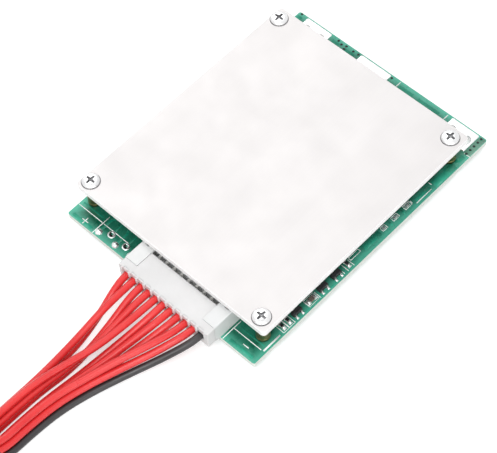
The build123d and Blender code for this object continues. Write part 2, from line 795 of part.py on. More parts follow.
# Two cable ties: a flat band round the coil, a ratchet head on top and the cut-off strap end
tie_reach = coil_outer_radius - coil_inner_radius
tie_head_top = coil_top + tie_thickness + tie_head_height
with BuildPart() as harness_ties:
    for angle in tie_angles:
        outward = Vector(cos(radians(angle)), sin(radians(angle)), 0)
        middle = Vector(coil_centre_x, coil_centre_y, 0) + outward * (coil_outer_radius + coil_inner_radius) / 2
        band_foot = middle + Vector(0, 0, coil_bottom - tie_thickness)
        band_plane = Plane(origin=band_foot, x_dir=outward, z_dir=(0, 0, 1))
        with BuildSketch(band_plane):
            Rectangle(tie_reach + 4 * tie_thickness, tie_width)
        extrude(amount=coil_top - coil_bottom + 2 * tie_thickness)
        head_plane = Plane(origin=middle + Vector(0, 0, coil_top), x_dir=outward, z_dir=(0, 0, 1))
        with BuildSketch(head_plane):
            RectangleRounded(tie_head_length, tie_head_width, tie_head_round)
        extrude(amount=tie_thickness + tie_head_height)
        stub_plane = Plane(origin=middle + Vector(0, 0, tie_head_top), x_dir=outward, z_dir=(0, 0, 1))
        with BuildSketch(stub_plane):
            Rectangle(tie_thickness, tie_stub_width)
        extrude(amount=tie_stub_height)
    add(harness_coil.part, mode=Mode.SUBTRACT)
write(harness_ties.part, "harness_ties")
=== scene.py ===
import json
import math

import bpy
import numpy as np
from mathutils import Matrix, Vector


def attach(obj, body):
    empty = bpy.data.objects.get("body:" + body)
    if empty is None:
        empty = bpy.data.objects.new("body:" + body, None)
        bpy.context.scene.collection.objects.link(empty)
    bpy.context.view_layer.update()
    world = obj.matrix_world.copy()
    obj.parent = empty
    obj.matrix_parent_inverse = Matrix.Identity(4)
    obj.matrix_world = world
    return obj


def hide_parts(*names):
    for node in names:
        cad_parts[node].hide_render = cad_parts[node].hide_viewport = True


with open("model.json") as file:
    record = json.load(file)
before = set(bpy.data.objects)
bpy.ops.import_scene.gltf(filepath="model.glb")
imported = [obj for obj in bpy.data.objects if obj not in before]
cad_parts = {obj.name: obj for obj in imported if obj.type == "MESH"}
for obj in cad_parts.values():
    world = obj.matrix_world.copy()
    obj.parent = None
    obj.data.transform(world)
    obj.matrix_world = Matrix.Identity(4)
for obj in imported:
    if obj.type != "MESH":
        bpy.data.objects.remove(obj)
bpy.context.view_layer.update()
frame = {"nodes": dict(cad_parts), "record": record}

nodes = frame["nodes"]
MM = 0.001

# Sizes that the solids have, in millimetres of the shared frame
BOARD_LEFT, BOARD_FRONT, BOARD_BACK = -32.0, -42.2, 43.6
BOARD_BOTTOM, BOARD_TOP, PLATE_TOP = 2.0, 3.6, 12.4
CHANNELS, CHANNEL_PITCH = 10, 5.5
PINS, PIN_PITCH, HEADER_CENTRE, PIN_LEVEL, TAIL_ROW = 11, 2.5, 6.1, 6.8, -33.9
SCREW_COLUMNS, SCREW_ROWS = (-29.3, 28.3), (-35.1, 32.9)
CABLE_COLUMNS, CABLE_ROW = (-27.0, -22.1, 22.9, 27.8), 40.0
LAND_FRONT, LAND_BACK = 36.9, 43.4
POWER_ROWS, POWER_COLUMNS = (24.8, 6.8), (-18.9, -6.3, 6.3, 18.9)
LEG_REACH, LEG_PITCH = 8.6, 2.54
STRIP_CHIPS, STRIP_LARGE_CHIP, STRIP_TRANSISTORS = 29.7, 30.2, 29.95
SHUNT_ROW, SHUNT_COLUMNS = 34.6, (-9.5, 0.0, 9.5)
CHIP_OFFSET, MONITOR_REACH = 1.1, 1.2

# Rows of small parts, as shares of the way from the front edge to the rear power transistors
CAPACITOR_ROW, RESISTOR_ROW, MONITOR_ROW = 0.203, 0.2448, 0.3075
SMALL_TRANSISTOR_ROW, BALANCE_ROW = 0.3851, 0.4866
STRIP_CHIP_ROWS, STRIP_TRANSISTOR_ROWS = (0.1776, 0.2075, 0.5224), (0.2537, 0.3896, 0.4612)
STRIP_LARGE_CHIP_ROW = 0.3269

screw_places = [(x, y) for x in SCREW_COLUMNS for y in SCREW_ROWS]
channel_columns = [(i - (CHANNELS - 1) / 2) * CHANNEL_PITCH for i in range(CHANNELS)]
pin_columns = [HEADER_CENTRE + (i - (PINS - 1) / 2) * PIN_PITCH for i in range(PINS)]
cable_holes = [(x, CABLE_ROW) for x in CABLE_COLUMNS]
land_edges = [(-29.0, -20.1), (-10.0, 0.5), (20.9, 29.8)]


def row_y(share):
    """The place of a row, as a share of the way from the front edge to the rear power transistors."""
    return BOARD_FRONT + share * (POWER_ROWS[0] - BOARD_FRONT)


def from_corner(x, y):
    """A place measured from the board's left front corner, in the shared frame."""
    return x + BOARD_LEFT, y + BOARD_FRONT


# Camera: the angle, distance and lens of the photograph, for a picture of 497 by 453
FOCAL_PIXELS, PICTURE_WIDTH, SENSOR = 1732.75, 497.0, 36.0
AZIMUTH, ELEVATION, ROLL = (math.radians(degrees) for degrees in (48.1023, 57.0919, -5.5378))
# The board's left front corner as the camera has it: millimetres to the right, up and away
CORNER_RIGHT, CORNER_UP, CORNER_AWAY = -45.1, 3.3574, 431.5969
level = np.array([math.cos(AZIMUTH), math.sin(AZIMUTH), 0.0])
ahead = np.array([-math.sin(AZIMUTH), math.cos(AZIMUTH), 0.0])
look = ahead * math.cos(ELEVATION) - (0, 0, math.sin(ELEVATION))
rise = np.cross(level, look)
right = math.cos(ROLL) * level + math.sin(ROLL) * rise
up = -math.sin(ROLL) * level + math.cos(ROLL) * rise
eye = -(right * CORNER_RIGHT + up * CORNER_UP + look * CORNER_AWAY) + (BOARD_LEFT, BOARD_FRONT, BOARD_TOP)
camera_data = bpy.data.cameras.new("camera")
camera_data.lens = FOCAL_PIXELS * SENSOR / PICTURE_WIDTH
camera_data.sensor_width = SENSOR
camera_data.clip_start, camera_data.clip_end = 0.01, 20.0
camera = bpy.data.objects.new("camera", camera_data)
camera.matrix_world = Matrix([*np.column_stack([right, up, -look, eye * MM]).tolist(), [0, 0, 0, 1]])
bpy.context.scene.collection.objects.link(camera)
bpy.context.scene.camera = camera


# Materials: each has its colour, grain and roughness from nodes on Object coordinates
def new_material(name):
    """An empty node material, its node tree and its Principled shader."""
    made = bpy.data.materials.new(name)
    made.use_nodes = True
    return made, made.node_tree, made.node_tree.nodes["Principled BSDF"]


def add_node(tree, kind, props=None, inputs=None):
    """A node with its properties set, and its inputs linked or set by name or number."""
    made = tree.nodes.new(kind)
    for key, value in (props or {}).items():
        setattr(made, key, value)
    feed(tree, made, inputs or {})
    return made


def feed(tree, node, inputs):
    """Inputs of a node linked to outputs or set to values, by name or number."""
    for key, value in inputs.items():
        if hasattr(value, "is_output"):
            tree.links.new(value, node.inputs[key])
        else:
            node.inputs[key].default_value = value


def place_on(tree, stretch=(1.0, 1.0, 1.0)):
    """Object coordinates, stretched along the axes."""
    source = add_node(tree, "ShaderNodeTexCoord")
    inputs = {"Vector": source.outputs["Object"], "Scale": stretch}
    return add_node(tree, "ShaderNodeMapping", inputs=inputs).outputs["Vector"]


def noise(tree, place, scale, detail=3.0, rough=0.5):
    """Cloud noise from 0 to 1."""
    inputs = {"Vector": place, "Scale": scale, "Detail": detail, "Roughness": rough}
    return add_node(tree, "ShaderNodeTexNoise", inputs=inputs).outputs["Fac"]


def spread(tree, value, low, high, to_low, to_high):
    """A value carried from the range low..high to the range to_low..to_high."""
    inputs = {"Value": value, "From Min": low, "From Max": high, "To Min": to_low, "To Max": to_high}
    return add_node(tree, "ShaderNodeMapRange", inputs=inputs).outputs["Result"]


def clouds(tree, place, scale, detail=3.0, to_low=0.0, to_high=1.0):
    """Cloud noise whose middle part fills the range to_low..to_high."""
    return spread(tree, noise(tree, place, scale, detail), 0.3, 0.7, to_low, to_high)


def blend_colour(tree, share, first, second):
    """The mix of two colours or colour outputs by a share."""
    first, second = ((*colour, 1) if isinstance(colour, tuple) else colour for colour in (first, second))
    return add_node(tree, "ShaderNodeMix", {"data_type": "RGBA"}, {0: share, 6: first, 7: second}).outputs[2]


def arithmetic(tree, operation, first, second=0.0):
    """One operation on two values."""
    return add_node(tree, "ShaderNodeMath", {"operation": operation}, {0: first, 1: second}).outputs[0]


def relief(tree, height, depth, strength=1.0):
    """A bump of that depth in metres."""
    inputs = {"Height": height, "Distance": depth, "Strength": strength}
    return add_node(tree, "ShaderNodeBump", inputs=inputs).outputs["Normal"]


def facing_up(tree, limit=0.7):
    """1 where the surface faces up or down, 0 on its sides."""
    source = add_node(tree, "ShaderNodeTexCoord")
    parts = add_node(tree, "ShaderNodeSeparateXYZ", inputs={"Vector": source.outputs["Normal"]})
    return arithmetic(tree, "GREATER_THAN", arithmetic(tree, "ABSOLUTE", parts.outputs["Z"]), limit)


def seen_directly(tree):
    """1 for rays from the camera, from a mirror and through glass, 0 for those that light other things."""
    path = add_node(tree, "ShaderNodeLightPath")
    seen = arithmetic(tree, "MAXIMUM", path.outputs["Is Camera Ray"], path.outputs["Is Glossy Ray"])
    return arithmetic(tree, "MAXIMUM", seen, path.outputs["Is Transmission Ray"])


def plain_finish(name, dark, light, rough, metal, grain, depth, subsurface=0.0, stretch=(1.0, 1.0, 1.0)):
    """A moulded or plated finish: two close shades in clouds, a wandering roughness and a fine grain."""
    made, tree, shader = new_material(name)
    place = place_on(tree, stretch)
    feed(tree, shader, {
        "Base Color": blend_colour(tree, clouds(tree, place, grain * 0.16, 4.0), dark, light),
        "Roughness": clouds(tree, place, grain * 0.4, 3.0, *rough),
        "Normal": relief(tree, noise(tree, place, grain, 2.0), depth),
        "Metallic": metal,
    })
    if subsurface:
        feed(tree, shader, {"Subsurface Weight": subsurface, "Subsurface Radius": (1.0, 0.97, 0.93),
                            "Subsurface Scale": 0.0015})
    return made


def mask_finish(name, deep, clear, sawn_edge=False):
    """Green solder mask, paler on the rim, partly its own colour without inner copper and partly painted
    light out of the plate's shade. A sawn edge shows layers of glass fibre.
    """
    made, tree, shader = new_material(name)
    place = place_on(tree)
    parts = add_node(tree, "ShaderNodeSeparateXYZ", inputs={"Vector": place})
    across = arithmetic(tree, "ABSOLUTE", parts.outputs["X"])
    middle = (BOARD_FRONT + BOARD_BACK) / 2 * MM
    along = arithmetic(tree, "ABSOLUTE", arithmetic(tree, "SUBTRACT", parts.outputs["Y"], middle))
    from_side = arithmetic(tree, "SUBTRACT", -BOARD_LEFT * MM, across)
    from_end = arithmetic(tree, "SUBTRACT", (BOARD_BACK - BOARD_FRONT) / 2 * MM, along)
    uneven = arithmetic(tree, "MULTIPLY", noise(tree, place, 140.0), 0.003)
    from_rim = arithmetic(tree, "ADD", arithmetic(tree, "MINIMUM", from_side, from_end), uneven)
    patches = spread(tree, noise(tree, place, 110.0, 5.0, 0.6), 0.35, 0.7, 0.0, 0.3)
    # Paler towards the rim: partly the mask's own colour without inner copper, partly painted light away
    # from the plate's shade
    share = arithmetic(tree, "ADD", patches, spread(tree, from_rim, 0.0018, 0.0046, 0.85, 0.0))
    mask = blend_colour(tree, arithmetic(tree, "MINIMUM", share, 1.0), deep, clear)
    specks = spread(tree, noise(tree, place, 1500.0, 2.0), 0.62, 0.7, 0.0, 0.25)
    colour = mask = blend_colour(tree, specks, mask, tuple(0.7 * part for part in deep))
    upper = facing_up(tree)
    if sawn_edge:
        layers = add_node(tree, "ShaderNodeTexWave", {"wave_type": "BANDS", "bands_direction": "Z"},
                          {"Vector": place, "Scale": 1100.0, "Distortion": 4.0, "Detail": 3.0})
        fibres = noise(tree, place_on(tree, (300.0, 300.0, 3000.0)), 4.0, 4.0)
        glass = blend_colour(tree, layers.outputs["Fac"], (0.66, 0.71, 0.65), (0.80, 0.84, 0.79))
        glass = blend_colour(tree, spread(tree, fibres, 0.4, 0.7, 0.0, 0.6), glass, (0.88, 0.90, 0.87))
        colour = blend_colour(tree, upper, glass, mask)
    weave = add_node(tree, "ShaderNodeTexVoronoi", {"distance": "CHEBYCHEV"},
                     {"Vector": place, "Scale": 1300.0, "Randomness": 0.25})
    height = arithmetic(tree, "ADD", weave.outputs["Distance"], noise(tree, place, 500.0))
    feed(tree, shader, {
        "Base Color": colour,
        "Roughness": spread(tree, upper, 0.0, 1.0, 0.75, clouds(tree, place, 420.0, 3.0, 0.2, 0.34)),
        "Normal": relief(tree, height, 0.000012, 0.5),
        "Specular IOR Level": 0.26,
    })
    return made


def plate_finish(name):
    """Fine matt aluminium, nearly white: short soft rolling marks, faint handling clouds, sheared sides
    painted paler than the top to make up for their shade.
    """
    made, tree, shader = new_material(name)
    place = place_on(tree)
    rolled = noise(tree, place_on(tree, (2200.0, 60.0, 60.0)), 1.0)
    sheared = noise(tree, place_on(tree, (500.0, 500.0, 40.0)), 1.0)
    handled = spread(tree, noise(tree, place, 34.0, 4.0), 0.35, 0.65, 0.0, 1.0)
    tint = blend_colour(tree, handled, (0.658, 0.638, 0.634), (0.678, 0.658, 0.655))
    tint = blend_colour(tree, spread(tree, rolled, 0.3, 0.7, 0.0, 0.2), tint, (0.63, 0.61, 0.607))
    # The sides get a paler colour than the top: painted light to make up for their shade
    side = blend_colour(tree, sheared, (0.80, 0.79, 0.79), (0.94, 0.93, 0.93))
    feed(tree, shader, {
        "Base Color": blend_colour(tree, facing_up(tree, 0.975), side, tint),
        "Roughness": clouds(tree, place, 120.0, 4.0, 0.38, 0.5),
        "Normal": relief(tree, rolled, 0.000006, 0.5),
        "Metallic": 0.3,
    })
    return made


def chip_finish(name, top, side, rough):
    """A fired chip: glaze on its flat faces and bare ceramic on its sides."""
    made, tree, shader = new_material(name)
    place = place_on(tree)
    speckle = spread(tree, noise(tree, place, 2600.0), 0.35, 0.7, 0.0, 1.0)
    glaze = blend_colour(tree, speckle, top, tuple(1.6 * part for part in top))
    feed(tree, shader, {
        "Base Color": blend_colour(tree, facing_up(tree), side, glaze),
        "Roughness": clouds(tree, place, 900.0, 3.0, rough, rough + 0.16),
        "Normal": relief(tree, noise(tree, place, 2500.0), 0.00001),
    })
    return made


def solder_finish(name):
    """Bright tin with soft flow wrinkles, a duller skin in patches and a little flux in the lows."""
    made, tree, shader = new_material(name)
    place = place_on(tree)
    flow = noise(tree, place, 700.0, 4.0, 0.6)
    dull = spread(tree, noise(tree, place, 260.0, 4.0), 0.4, 0.65, 0.0, 1.0)
    tin = blend_colour(tree, dull, (0.93, 0.935, 0.94), (0.80, 0.805, 0.81))
    flux = spread(tree, flow, 0.3, 0.42, 0.5, 0.0)
    feed(tree, shader, {
        "Base Color": blend_colour(tree, flux, tin, (0.52, 0.48, 0.38)),
        "Roughness": spread(tree, dull, 0.0, 1.0, 0.22, 0.45),
        "Normal": relief(tree, flow, 0.00007, 0.8),
        "Metallic": 1.0,
    })
    return made


# Darker and lighter shade, least and most roughness, metallic, grain, depth of the grain, subsurface share
# and the pattern's stretch
plain_rows = {
    "screw_steel": ((0.74, 0.74, 0.75), (0.88, 0.88, 0.885), (0.2, 0.34), 1.0, 2600.0, 0.000006),
    # The standoff brass is darkened to a dull olive: painted shade of its place under the plate
    "standoff_brass": ((0.15, 0.14, 0.06), (0.25, 0.225, 0.10), (0.26, 0.4), 1.0, 1500.0, 0.00001,
                       0.0, (1.0, 1.0, 9.0)),
    "header_nylon": ((0.71, 0.72, 0.72), (0.77, 0.775, 0.77), (0.36, 0.5), 0.0, 700.0, 0.00001, 0.3),
    "plug_nylon": ((0.67, 0.665, 0.665), (0.73, 0.725, 0.725), (0.4, 0.54), 0.0, 800.0, 0.000012, 0.3),
    "tinned_brass": ((0.84, 0.83, 0.80), (0.92, 0.91, 0.88), (0.2, 0.32), 0.5, 1800.0, 0.000006),
    "tinned_copper": ((0.64, 0.63, 0.61), (0.78, 0.77, 0.75), (0.3, 0.45), 1.0, 1800.0, 0.00001),
    "moulding_epoxy": ((0.016, 0.016, 0.018), (0.03, 0.03, 0.033), (0.5, 0.65), 0.0, 5000.0, 0.00002),
    "pad_silicone": ((0.36, 0.40, 0.44), (0.46, 0.50, 0.54), (0.6, 0.75), 0.0, 1400.0, 0.00003),
    "shunt_body": ((0.02, 0.02, 0.021), (0.045, 0.045, 0.047), (0.4, 0.55), 0.0, 1600.0, 0.00002),
    "wire_red": ((0.66, 0.021, 0.024), (0.76, 0.042, 0.042), (0.26, 0.38), 0.0, 500.0, 0.000012, 0.12),
    "wire_black": ((0.022, 0.020, 0.021), (0.036, 0.033, 0.035), (0.3, 0.42), 0.0, 500.0, 0.000012),
    "tie_plastic": ((0.010, 0.010, 0.010), (0.02, 0.02, 0.02), (0.3, 0.42), 0.0, 900.0, 0.00001),
    "silk_ink": ((0.93, 0.96, 0.94), (0.97, 0.99, 0.98), (0.5, 0.7), 0.0, 3000.0, 0.000012),
    "recess_shade": ((0.10, 0.10, 0.105), (0.34, 0.34, 0.35), (0.4, 0.6), 0.6, 4000.0, 0.00002),
    "seat_shade": ((0.10, 0.10, 0.10), (0.22, 0.22, 0.225), (0.5, 0.7), 0.4, 2000.0, 0.00001),
    "hole_shade": ((0.004, 0.006, 0.005), (0.010, 0.014, 0.012), (0.6, 0.8), 0.0, 3000.0, 0.00001),
}
# Deep and clear shade of the mask, the deep one partly painted shade under the plate and the clear one
# partly painted light on the rim, and whether the piece has a sawn edge
mask_rows = {
    "solder_mask": ((0.0005, 0.088, 0.047), (0.09, 0.46, 0.33), True),
    "mask_over_copper": ((0.001, 0.15, 0.088), (0.05, 0.45, 0.30)),
    "mask_thin": ((0.10, 0.26, 0.185), (0.17, 0.34, 0.26)),
}
# Shade of the flat faces, shade of the sides and least roughness
chip_rows = {
    "resistor_body": ((0.012, 0.012, 0.015), (0.62, 0.61, 0.58), 0.24),
    "capacitor_ceramic": ((0.12, 0.095, 0.08), (0.24, 0.19, 0.15), 0.35),
}
finish_of = {name: plain_finish(name, *row) for name, row in plain_rows.items()}
finish_of |= {name: mask_finish(name, *row) for name, row in mask_rows.items()}
finish_of |= {name: chip_finish(name, *row) for name, row in chip_rows.items()}
finish_of |= {"plate_aluminium": plate_finish("plate_aluminium"), "solder": solder_finish("solder")}

slot_of = {part["node"]: part["material_slot"] for part in frame["record"]["subparts"]}
for name, piece in nodes.items():
    piece.data.materials.clear()
    piece.data.materials.append(finish_of[slot_of[name]])


# Surfaces: each returns an array of points in millimetres and an array of quads
def grid_faces(rows, columns, closed=True):
    """Quads between neighbouring points of a grid, joined round the columns where closed."""
    steps = columns if closed else columns - 1
    row, column = np.meshgrid(np.arange(rows - 1), np.arange(steps), indexing="ij")
    here, beside = row * columns + column, row * columns + (column + 1) % columns
    return np.stack([here, beside, beside + columns, here + columns], axis=-1).reshape(-1, 4)


def full_turn(segments):
    """Angles once round, without the last."""
    return np.linspace(0, 2 * np.pi, segments, endpoint=False)


def about(centre, radius, angle, z):
    """Points at a radius and an angle about an upright line: (cx + r cos a, cy + r sin a, z)."""
    x, y = centre[0] + radius * np.cos(angle), centre[1] + radius * np.sin(angle)
    return np.stack([x, y, np.broadcast_to(z, x.shape)], axis=-1).reshape(-1, 3)


def revolved(profile, centre, segments, base=0.0, uneven=0.0, phase=0.0):
    """A profile of (r, z) about an upright line, its r times 1 + u (sin(2a + p) + 0.6 sin(3a + 2.3p))."""
    radius, height = np.array(profile, float).T[:, :, None]
    angle = full_turn(segments)
    wide = 1 + uneven * (np.sin(2 * angle + phase) + 0.6 * np.sin(3 * angle + 2.3 * phase))
    return about(centre, radius * wide, angle, height + base), grid_faces(len(radius), segments)


def rounded_box(centre, size, edge, steps):
    """A block with round edges: p = c + s (h - e) + e n, n over a sphere and s the signs of its octant."""
    half = np.array(size, float) / 2
    quarter = np.linspace(0, np.pi / 2, steps + 1)
    around = np.concatenate([quarter + k * np.pi / 2 for k in range(4)])
    lift = np.concatenate([quarter - np.pi / 2, quarter])[:, None]
    sign_x = np.repeat([1, -1, -1, 1], steps + 1)
    sign_y = np.repeat([1, 1, -1, -1], steps + 1)
    sign_z = np.repeat([-1, 1], steps + 1)[:, None]
    x = sign_x * (half[0] - edge) + edge * np.cos(lift) * np.cos(around)
    y = sign_y * (half[1] - edge) + edge * np.cos(lift) * np.sin(around)
    z = np.broadcast_to(sign_z * (half[2] - edge) + edge * np.sin(lift), x.shape)
    low, high = (np.broadcast_to((0, 0, end * half[2]), (1, len(around), 3)) for end in (-1, 1))
    points = np.concatenate([low, np.stack([x, y, z], axis=-1), high])
    return points.reshape(-1, 3) + np.array(centre), grid_faces(len(points), len(around))


def ribbon(line, width, base, height, lip=0.12):
    """A strip along a line, closed at its ends, its sides w/2 out on the mitre (n1 + n2) / (1 + n1 . n2)."""
    line = np.array(line, float)
    run = np.diff(line, axis=0)
    run /= np.linalg.norm(run, axis=1)[:, None]
    across = np.stack([-run[:, 1], run[:, 0]], axis=1)
    before, after = np.vstack([across[:1], across]), np.vstack([across, across[-1:]])
    mitre = (before + after) / (1 + np.sum(before * after, axis=1))[:, None] * width / 2
    inner = 1 - min(0.5, lip / width)
    flat = line[:, None, :] + mitre[:, None, :] * np.array([1, inner, -inner, -1])[:, None]
    upright = np.array([0, 1, 1, 0])[None, :, None] * height + base
    rows = np.concatenate([flat, np.broadcast_to(upright, (len(line), 4, 1))], axis=2)
    first, last = rows[:1].copy(), rows[-1:].copy()
    first[..., 2] = last[..., 2] = base
    rows = np.concatenate([first, rows, last])
    return rows.reshape(-1, 3), grid_faces(len(rows), 4, closed=False)


def on_top(points, width, height, lip=0.12):
    """A strip on the board's top, along points measured from the corner."""
    return ribbon([from_corner(*point) for point in points], width, BOARD_TOP, height, lip)


def frame_on_top(x0, y0, x1, y1, width, height):
    """Four strips round a rectangle on the board's top, from one corner to the opposite one."""
    sides = [((x0 - width / 2, y), (x1 + width / 2, y)) for y in (y0, y1)]
    sides += [((x, y0), (x, y1)) for x in (x0, x1)]
    return [on_top(side, width, height) for side in sides]


def mound(x, y, half_x, half_y, height, base=BOARD_TOP, rings=7, segments=18, phase=0.0):
    """A low blob: z = h (1 - q^2)^0.8 over a wavy oval, q from 0 in its middle to 1 at its rim."""
    q = np.linspace(1, 0, rings)[:, None]
    angle = full_turn(segments)
    wide = 1 + 0.05 * np.sin(3 * angle + phase)
    points = np.stack([x + half_x * q * wide * np.cos(angle), y + half_y * q * wide * np.sin(angle),
                       base + height * (1 - q ** 2) ** 0.8 + 0 * angle], axis=-1)
    return points.reshape(-1, 3), grid_faces(rings, segments)


def softly(value):
    """The smooth step 3t^2 - 2t^3 of a value held to 0..1."""
    t = np.clip(value, 0, 1)
    return t * t * (3 - 2 * t)


def put_on_board(name, data, replaced):
    """An object at the origin that rides on the board, in place of the named nodes."""
    made = bpy.data.objects.new(name, data)
    bpy.context.scene.collection.objects.link(made)
    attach(made, "root")
    if replaced:
        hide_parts(*replaced)
    return made


def show(name, parts, slot, replaced=(), finish=None, smooth=True):
    """One mesh piece from several surfaces, with the slot's finish or its own."""
    starts = np.cumsum([0] + [len(points) for points, faces in parts[:-1]])
    points = np.concatenate([points for points, faces in parts])
    faces = np.concatenate([faces + start for (_, faces), start in zip(parts, starts)])
    mesh = bpy.data.meshes.new(name)
    mesh.from_pydata((points * MM).tolist(), [], faces.tolist())
    mesh.polygons.foreach_set("use_smooth", np.full(len(faces), smooth))
    mesh.materials.append(finish_of[finish or slot])
    mesh.validate()
    return put_on_board(name, mesh, replaced)


# Screws: pan head with a cross recess, and a rolled thread down to the nut
THREAD_PITCH, THREAD_STEP = 0.45, 0.1
HEAD_RADIUS, HEAD_HEIGHT, HEAD_RINGS = 2.3, 0.95, 46
head_skirt = [(2.22, 0.0), (2.27, 0.02), (2.3, 0.08), (2.3, 0.24), (2.29, 0.3)]
RECESS_REACH, RECESS_HALF_WIDTH, RECESS_DEPTH, RECESS_MIDDLE, MIDDLE_RADIUS = 1.35, 0.40, 0.5, 0.3, 0.9
RECESS_SHADE_LIFT, THREAD_END, THREAD_SEGMENTS = 0.012, 0.40, 20


def recess_bar(u, v):
    """1 in a bar along u that narrows outwards, 0 outside it, with soft edges."""
    half_width = RECESS_HALF_WIDTH - 0.1 * np.abs(u)
    return softly((RECESS_REACH - np.abs(u)) / 0.14) * softly((half_width - np.abs(v)) / 0.1)


def screw_head(centre, lift=0.0):
    """z = e + (h - e) sqrt(1 - (r/R)^3) less two crossed bars, deepest in the middle.

    With a lift, only the faces in the bars are made, that much higher, to carry the recess's painted shade.
    """
    skirt_radius, skirt_height = np.array(head_skirt).T
    edge = skirt_height[-1]
    radius = np.concatenate([skirt_radius, np.linspace(2.27, 0.01, HEAD_RINGS)])[:, None]
    angle = full_turn(144)
    x, y = radius * np.cos(angle), radius * np.sin(angle)
    z = edge + (HEAD_HEIGHT - edge) * np.sqrt(np.clip(1 - (radius / HEAD_RADIUS) ** 3, 0, 1)) + 0 * angle
    z[:len(head_skirt)] = skirt_height[:, None]
    cut = np.maximum(recess_bar(x, y), recess_bar(y, x))
    z = z - cut * (RECESS_DEPTH + RECESS_MIDDLE * softly(1 - radius / MIDDLE_RADIUS)) + lift
    faces = grid_faces(len(radius), len(angle))
    if lift:
        faces = faces[cut.ravel()[faces].mean(axis=1) > 0.12]
    return about(centre, radius, angle, z + PLATE_TOP), faces


def screw_thread(centre):
    """r = 1.25 - 0.06 (1 + cos(2 pi z / pitch + a)), a thread with a broken end."""
    z = np.arange(PLATE_TOP, THREAD_END + 0.05, -THREAD_STEP)[:, None]
    angle = full_turn(THREAD_SEGMENTS)
    radius = 1.25 - 0.06 * (1 + np.cos(2 * np.pi * z / THREAD_PITCH + angle))
    radius = np.vstack([radius, np.full((1, THREAD_SEGMENTS), 1.0), np.full((1, THREAD_SEGMENTS), 0.01)])
    z = np.vstack([z, [[THREAD_END]], [[THREAD_END]]])
    return about(centre, radius, angle, z), grid_faces(len(z), THREAD_SEGMENTS)[:, ::-1]


show("pan_screws", [form(place) for form in (screw_head, screw_thread) for place in screw_places],
     "screw_steel", ["plate_screws"])
# A dark copy of the cross recess, just above it: painted shade in the recess
show("recess_painted_shade", [screw_head(place, RECESS_SHADE_LIFT) for place in screw_places], "screw_steel",
     finish="recess_shade")
# A thin dark ring on the plate round each head: painted contact shadow
seat_shadow_ring = [(2.48, 0.0), (2.46, 0.02), (2.3, 0.03), (2.20, 0.02)]
show("screw_seat_shadows", [revolved(seat_shadow_ring, place, 72, PLATE_TOP) for place in screw_places], "screw_steel",
     finish="seat_shade")

NUT_HEIGHT, NUT_APOTHEM, NUT_SEGMENTS = 2.0, 2.5, 96


def hex_nut(centre):
    """r = min(apothem / cos(a mod 60 - 30), cone), a hexagon with chamfered faces and a threaded bore."""
    height = np.array([0, 0.04, 0.12, 0.22, 0.32, 1.0, 1.68, 1.78, 1.88, 1.96, NUT_HEIGHT])
    angle = full_turn(NUT_SEGMENTS)
    flat = NUT_APOTHEM / np.cos(np.mod(angle, np.pi / 3) - np.pi / 6)
    cone = 2.42 + np.minimum(height, NUT_HEIGHT - height) * 1.73
    outer = np.minimum(flat[None, :], cone[:, None])
    down = np.arange(NUT_HEIGHT, -0.01, -THREAD_STEP)
    inner = 1.32 + 0.05 * np.cos(2 * np.pi * down[:, None] / THREAD_PITCH + angle)
    mouth = np.full((1, NUT_SEGMENTS), 1.5)
    radius = np.vstack([outer, mouth, inner, mouth, outer[:1]])
    z = np.concatenate([height, [NUT_HEIGHT], np.clip(down, 0.06, NUT_HEIGHT - 0.06), [0.0, 0.0]])
    return about(centre, radius, angle, z[:, None]), grid_faces(len(z), NUT_SEGMENTS)


show("hex_nuts", [hex_nut(place) for place in screw_places], "screw_steel", ["nuts"])
# Sleeves from the board's top at 3.6 to the plate's underside at 10.8, with two grooves, as (r, z)
sleeve = [(1.45, 3.6), (1.68, 3.6), (1.8, 3.72), (1.8, 4.5), (1.72, 4.6), (1.72, 4.8), (1.8, 4.9),
          (1.8, 9.5), (1.72, 9.6), (1.72, 9.8), (1.8, 9.9), (1.8, 10.68), (1.68, 10.8), (1.45, 10.8),
          (1.45, 3.6)]
show("spacer_sleeves", [revolved(sleeve, place, 48) for place in screw_places], "standoff_brass",
     ["standoffs"], smooth=False)

# Plug: a lip closes each notch over its wire, short teeth stand between the wires and outside them
LIP_PLACE, LIP_SIZE = (-45.74, 8.66), (1.56, 0.46, 1.64)
TOOTH_PLACE, TOOTH_SIZE = (-46.1, 8.35), (0.62, 0.5, 2.1)
OUTER_PLACE, OUTER_SIZE, OUTER_OFFSET = (-46.05, 8.35), (0.5, 0.4, 2.1), 1.35
lips = [rounded_box((x, *LIP_PLACE), LIP_SIZE, 0.08, 2) for x in pin_columns]
lips += [rounded_box((x + PIN_PITCH / 2, *TOOTH_PLACE), TOOTH_SIZE, 0.14, 3) for x in pin_columns[:-1]]
outer_columns = (pin_columns[0] - OUTER_OFFSET, pin_columns[-1] + OUTER_OFFSET)
lips += [rounded_box((x, *OUTER_PLACE), OUTER_SIZE, 0.12, 3) for x in outer_columns]
show("plug_lips", lips, "plug_nylon")

# Solder: joints beside the header, cones round the pin tails, plated holes and lands
joint_places = [from_corner(*place) for place in ((9.9, 1.4), (15.7, 1.4), (20.7, 1.6))]
eyelet_places = [from_corner(*place) for place in ((12.9, 2.9), (18.1, 2.8))]
dome = [(0.98, 0.0), (0.93, 0.06), (0.84, 0.2), (0.72, 0.38), (0.56, 0.5), (0.42, 0.56), (0.34, 0.6),
        (0.30, 0.72), (0.24, 0.78), (0.01, 0.8)]
domes = [revolved(dome, place, 40, BOARD_TOP, 0.03, 1.7 * i) for i, place in enumerate(joint_places)]
show("joint_domes", domes, "solder", ["front_joints"])
tail = [(0.01, 0.72), (0.36, 0.74), (0.42, 0.8), (0.45, 1.0), (0.52, 1.3), (0.66, 1.65), (0.86, 1.92),
        (0.95, BOARD_BOTTOM)]
show("tail_fillets", [revolved(tail, (x, TAIL_ROW), 24, 0.0, 0.02, x) for x in pin_columns], "solder",
     ["header_solder"])


